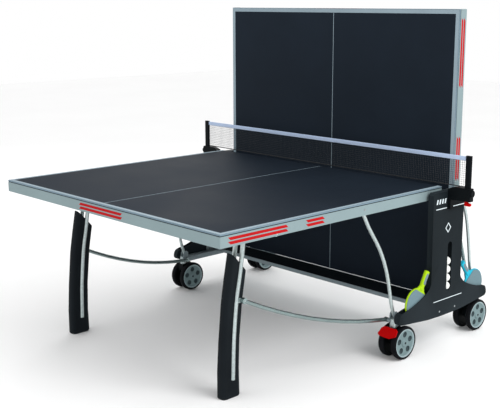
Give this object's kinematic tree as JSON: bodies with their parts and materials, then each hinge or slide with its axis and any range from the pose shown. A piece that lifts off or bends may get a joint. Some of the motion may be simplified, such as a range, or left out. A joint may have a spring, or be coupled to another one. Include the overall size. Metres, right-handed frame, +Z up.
{
  "type": "table tennis table",
  "caption": "Folding table tennis table on a wheeled chassis, one half lowered for play and the other folded upright, with net, side panels, bats and balls",
  "frame": {"origin": "Middle of the bounding box on the floor, under the lowered half near the net", "axes": "+X along the net, +Y from the lowered half towards the folded half, +Z up; the net plane is at y = 0.501 m"},
  "size_m": [1.8606, 1.741, 1.56],
  "materials": {
    "slate_board": "matte outdoor laminate",
    "apron_paint": "satin paint",
    "steel": "galvanised tube",
    "frame_paint": "satin grey paint",
    "charcoal_plastic": "fine grain moulding",
    "black_plastic": "satin moulding",
    "black_metal": "satin black paint",
    "red_plastic": "satin moulding",
    "net_mesh": "open mesh",
    "white_tape": "woven tape",
    "black_cord": "braided cord",
    "white_ball": "matt celluloid look",
    "lime_bat": "moulded composite bat",
    "cyan_bat": "moulded composite bat",
    "wheel_plastic": "soft tread on a grey hub"
  },
  "bodies": {
    "chassis": {"cross_beam": "frame_paint", "cross_beam_cover": "charcoal_plastic", "side_rail_left": "frame_paint", "side_rail_right": "frame_paint", "side_post_left": "steel", "side_post_right": "steel", "side_panel_left": "charcoal_plastic", "side_panel_right": "charcoal_plastic", "net_bracket_left": "black_plastic", "net_bracket_right": "black_plastic", "net_post_left": "black_metal", "net_post_right": "black_metal", "net": "net_mesh", "net_tape": "white_tape", "net_cord": "black_cord", "ball_1": "white_ball", "ball_2": "white_ball", "ball_3": "white_ball", "ball_4": "white_ball"},
    "near_guide": {"near_guide_shaft": "steel"},
    "near_half": {"near_board": "slate_board", "near_apron": "apron_paint"},
    "near_legs": {"near_leg_frame": "steel", "near_leg_pad_left": "charcoal_plastic", "near_leg_pad_right": "charcoal_plastic"},
    "near_arm_left": {"near_arm_left": "steel"},
    "near_stay_left": {"near_stay_left": "steel"},
    "near_arm_right": {"near_arm_right": "steel"},
    "near_stay_right": {"near_stay_right": "steel"},
    "far_guide": {"far_guide_shaft": "steel"},
    "far_half": {"far_board": "slate_board", "far_apron": "apron_paint"},
    "far_legs": {"far_leg_frame": "steel", "far_leg_pad_left": "charcoal_plastic", "far_leg_pad_right": "charcoal_plastic"},
    "far_arm_left": {"far_arm_left": "steel"},
    "far_stay_left": {"far_stay_left": "steel"},
    "far_arm_right": {"far_arm_right": "steel"},
    "far_stay_right": {"far_stay_right": "steel"},
    "caster_near_left": {"caster_near_left": "black_plastic"},
    "wheel_near_left_inner": {"wheel_near_left_inner": "wheel_plastic"},
    "wheel_near_left_outer": {"wheel_near_left_outer": "wheel_plastic"},
    "caster_near_right": {"caster_near_right": "black_plastic"},
    "wheel_near_right_inner": {"wheel_near_right_inner": "wheel_plastic"},
    "wheel_near_right_outer": {"wheel_near_right_outer": "wheel_plastic"},
    "caster_far_left": {"caster_far_left": "black_plastic"},
    "wheel_far_left_inner": {"wheel_far_left_inner": "wheel_plastic"},
    "wheel_far_left_outer": {"wheel_far_left_outer": "wheel_plastic"},
    "caster_far_right": {"caster_far_right": "black_plastic"},
    "wheel_far_right_inner": {"wheel_far_right_inner": "wheel_plastic"},
    "wheel_far_right_outer": {"wheel_far_right_outer": "wheel_plastic"},
    "brake_pedal_near_right": {"brake_pedal_near_right": "red_plastic"},
    "brake_pedal_far_left": {"brake_pedal_far_left": "red_plastic"},
    "lock_trigger_left": {"lock_trigger_left": "red_plastic"},
    "tension_knob_left": {"tension_knob_left": "black_plastic"},
    "lock_trigger_right": {"lock_trigger_right": "red_plastic"},
    "tension_knob_right": {"tension_knob_right": "black_plastic"},
    "bat_near": {"bat_near": "lime_bat"},
    "bat_far": {"bat_far": "cyan_bat"}
  },
  "joints": [
    {"name": "near_fold", "type": "hinge", "parent": "near_guide", "child": "near_half", "pos_m": [0, 0.47125, 0.73], "axis": [-1, 0, 0], "range_deg": [0, 90]},
    {"name": "near_guide_slide", "type": "slide", "parent": "chassis", "child": "near_guide", "axis": [0, -0.1531, -0.9882], "range_m": [0, 0.5161]},
    {"name": "near_leg_swing", "type": "hinge", "parent": "near_half", "child": "near_legs", "pos_m": [0, -0.57375, 0.715], "axis": [-1, 0, 0], "range_deg": [-90, 0]},
    {"name": "near_arm_left_turn", "type": "hinge", "parent": "near_half", "child": "near_arm_left", "pos_m": [-0.745, -0.05375, 0.73], "axis": [-1, 0, 0], "range_deg": [-44.56, 0]},
    {"name": "near_stay_left_turn", "type": "hinge", "parent": "near_legs", "child": "near_stay_left", "pos_m": [-0.587, -0.58875, 0.407], "axis": [-1, 0, 0], "range_deg": [0, 86.67]},
    {"name": "near_arm_right_turn", "type": "hinge", "parent": "near_half", "child": "near_arm_right", "pos_m": [0.745, -0.05375, 0.73], "axis": [-1, 0, 0], "range_deg": [-44.56, 0]},
    {"name": "near_stay_right_turn", "type": "hinge", "parent": "near_legs", "child": "near_stay_right", "pos_m": [0.587, -0.58875, 0.407], "axis": [-1, 0, 0], "range_deg": [0, 86.67]},
    {"name": "far_fold", "type": "hinge", "parent": "far_guide", "child": "far_half", "pos_m": [0, 0.61025, 0.22], "axis": [-1, 0, 0], "range_deg": [0, 90]},
    {"name": "far_guide_slide", "type": "slide", "parent": "chassis", "child": "far_guide", "axis": [0, -0.1531, 0.9882], "range_m": [0, 0.5161]},
    {"name": "far_leg_swing", "type": "hinge", "parent": "far_half", "child": "far_legs", "pos_m": [0, 0.62525, 1.265], "axis": [-1, 0, 0], "range_deg": [-90, 0]},
    {"name": "far_arm_left_turn", "type": "hinge", "parent": "far_half", "child": "far_arm_left", "pos_m": [-0.745, 0.61025, 0.745], "axis": [-1, 0, 0], "range_deg": [-44.56, 0]},
    {"name": "far_stay_left_turn", "type": "hinge", "parent": "far_legs", "child": "far_stay_left", "pos_m": [-0.587, 0.64025, 0.957], "axis": [-1, 0, 0], "range_deg": [0, 86.67]},
    {"name": "far_arm_right_turn", "type": "hinge", "parent": "far_half", "child": "far_arm_right", "pos_m": [0.745, 0.61025, 0.745], "axis": [-1, 0, 0], "range_deg": [-44.56, 0]},
    {"name": "far_stay_right_turn", "type": "hinge", "parent": "far_legs", "child": "far_stay_right", "pos_m": [0.587, 0.64025, 0.957], "axis": [-1, 0, 0], "range_deg": [0, 86.67]},
    {"name": "caster_near_left_swivel", "type": "hinge", "parent": "chassis", "child": "caster_near_left", "pos_m": [-0.75, 0.18125, 0.15], "axis": [0, 0, 1], "continuous": true},
    {"name": "wheel_near_left_inner_spin", "type": "hinge", "parent": "caster_near_left", "child": "wheel_near_left_inner", "pos_m": [-0.714, 0.21125, 0.0775], "axis": [1, 0, 0], "continuous": true},
    {"name": "wheel_near_left_outer_spin", "type": "hinge", "parent": "caster_near_left", "child": "wheel_near_left_outer", "pos_m": [-0.786, 0.21125, 0.0775], "axis": [1, 0, 0], "continuous": true},
    {"name": "caster_near_right_swivel", "type": "hinge", "parent": "chassis", "child": "caster_near_right", "pos_m": [0.75, 0.18125, 0.15], "axis": [0, 0, 1], "continuous": true},
    {"name": "wheel_near_right_inner_spin", "type": "hinge", "parent": "caster_near_right", "child": "wheel_near_right_inner", "pos_m": [0.714, 0.21125, 0.0775], "axis": [1, 0, 0], "continuous": true},
    {"name": "wheel_near_right_outer_spin", "type": "hinge", "parent": "caster_near_right", "child": "wheel_near_right_outer", "pos_m": [0.786, 0.21125, 0.0775], "axis": [1, 0, 0], "continuous": true},
    {"name": "caster_far_left_swivel", "type": "hinge", "parent": "chassis", "child": "caster_far_left", "pos_m": [-0.75, 0.82125, 0.15], "axis": [0, 0, 1], "continuous": true},
    {"name": "wheel_far_left_inner_spin", "type": "hinge", "parent": "caster_far_left", "child": "wheel_far_left_inner", "pos_m": [-0.714, 0.79125, 0.0775], "axis": [1, 0, 0], "continuous": true},
    {"name": "wheel_far_left_outer_spin", "type": "hinge", "parent": "caster_far_left", "child": "wheel_far_left_outer", "pos_m": [-0.786, 0.79125, 0.0775], "axis": [1, 0, 0], "continuous": true},
    {"name": "caster_far_right_swivel", "type": "hinge", "parent": "chassis", "child": "caster_far_right", "pos_m": [0.75, 0.82125, 0.15], "axis": [0, 0, 1], "continuous": true},
    {"name": "wheel_far_right_inner_spin", "type": "hinge", "parent": "caster_far_right", "child": "wheel_far_right_inner", "pos_m": [0.714, 0.79125, 0.0775], "axis": [1, 0, 0], "continuous": true},
    {"name": "wheel_far_right_outer_spin", "type": "hinge", "parent": "caster_far_right", "child": "wheel_far_right_outer", "pos_m": [0.786, 0.79125, 0.0775], "axis": [1, 0, 0], "continuous": true},
    {"name": "brake_pedal_near_right_lift", "type": "hinge", "parent": "caster_near_right", "child": "brake_pedal_near_right", "pos_m": [0.75, 0.16925, 0.145], "axis": [-1, 0, 0], "range_deg": [0, 12]},
    {"name": "brake_pedal_far_left_lift", "type": "hinge", "parent": "caster_far_left", "child": "brake_pedal_far_left", "pos_m": [-0.75, 0.83325, 0.145], "axis": [1, 0, 0], "range_deg": [0, 12]},
    {"name": "lock_trigger_left_squeeze", "type": "hinge", "parent": "chassis", "child": "lock_trigger_left", "pos_m": [-0.893, 0.50125, 0.708], "axis": [0, 1, 0], "range_deg": [0, 12], "stiffness_Nm_per_rad": 0.3},
    {"name": "tension_knob_left_turn", "type": "hinge", "parent": "chassis", "child": "tension_knob_left", "pos_m": [-0.9223, 0.50125, 0.745], "axis": [1, 0, 0], "continuous": true},
    {"name": "lock_trigger_right_squeeze", "type": "hinge", "parent": "chassis", "child": "lock_trigger_right", "pos_m": [0.893, 0.50125, 0.708], "axis": [0, -1, 0], "range_deg": [0, 12], "stiffness_Nm_per_rad": 0.3},
    {"name": "tension_knob_right_turn", "type": "hinge", "parent": "chassis", "child": "tension_knob_right", "pos_m": [0.9223, 0.50125, 0.745], "axis": [1, 0, 0], "continuous": true},
    {"name": "bat_near_lift", "type": "slide", "parent": "chassis", "child": "bat_near", "axis": [0, 0, 1], "range_m": [0, 0.16]},
    {"name": "bat_far_lift", "type": "slide", "parent": "chassis", "child": "bat_far", "axis": [0, 0, 1], "range_m": [0, 0.16]}
  ],
  "couplings": [
    {"joint": "near_guide_slide", "follows": "near_fold", "m_per_rad": 0.32855},
    {"joint": "near_leg_swing", "follows": "near_fold", "ratio": -1},
    {"joint": "near_arm_left_turn", "follows": "near_fold", "ratio": -0.49505},
    {"joint": "near_stay_left_turn", "follows": "near_fold", "ratio": 0.96296},
    {"joint": "near_arm_right_turn", "follows": "near_fold", "ratio": -0.49505},
    {"joint": "near_stay_right_turn", "follows": "near_fold", "ratio": 0.96296},
    {"joint": "far_guide_slide", "follows": "far_fold", "m_per_rad": 0.32855},
    {"joint": "far_leg_swing", "follows": "far_fold", "ratio": -1},
    {"joint": "far_arm_left_turn", "follows": "far_fold", "ratio": -0.49505},
    {"joint": "far_stay_left_turn", "follows": "far_fold", "ratio": 0.96296},
    {"joint": "far_arm_right_turn", "follows": "far_fold", "ratio": -0.49505},
    {"joint": "far_stay_right_turn", "follows": "far_fold", "ratio": 0.96296}
  ]
}
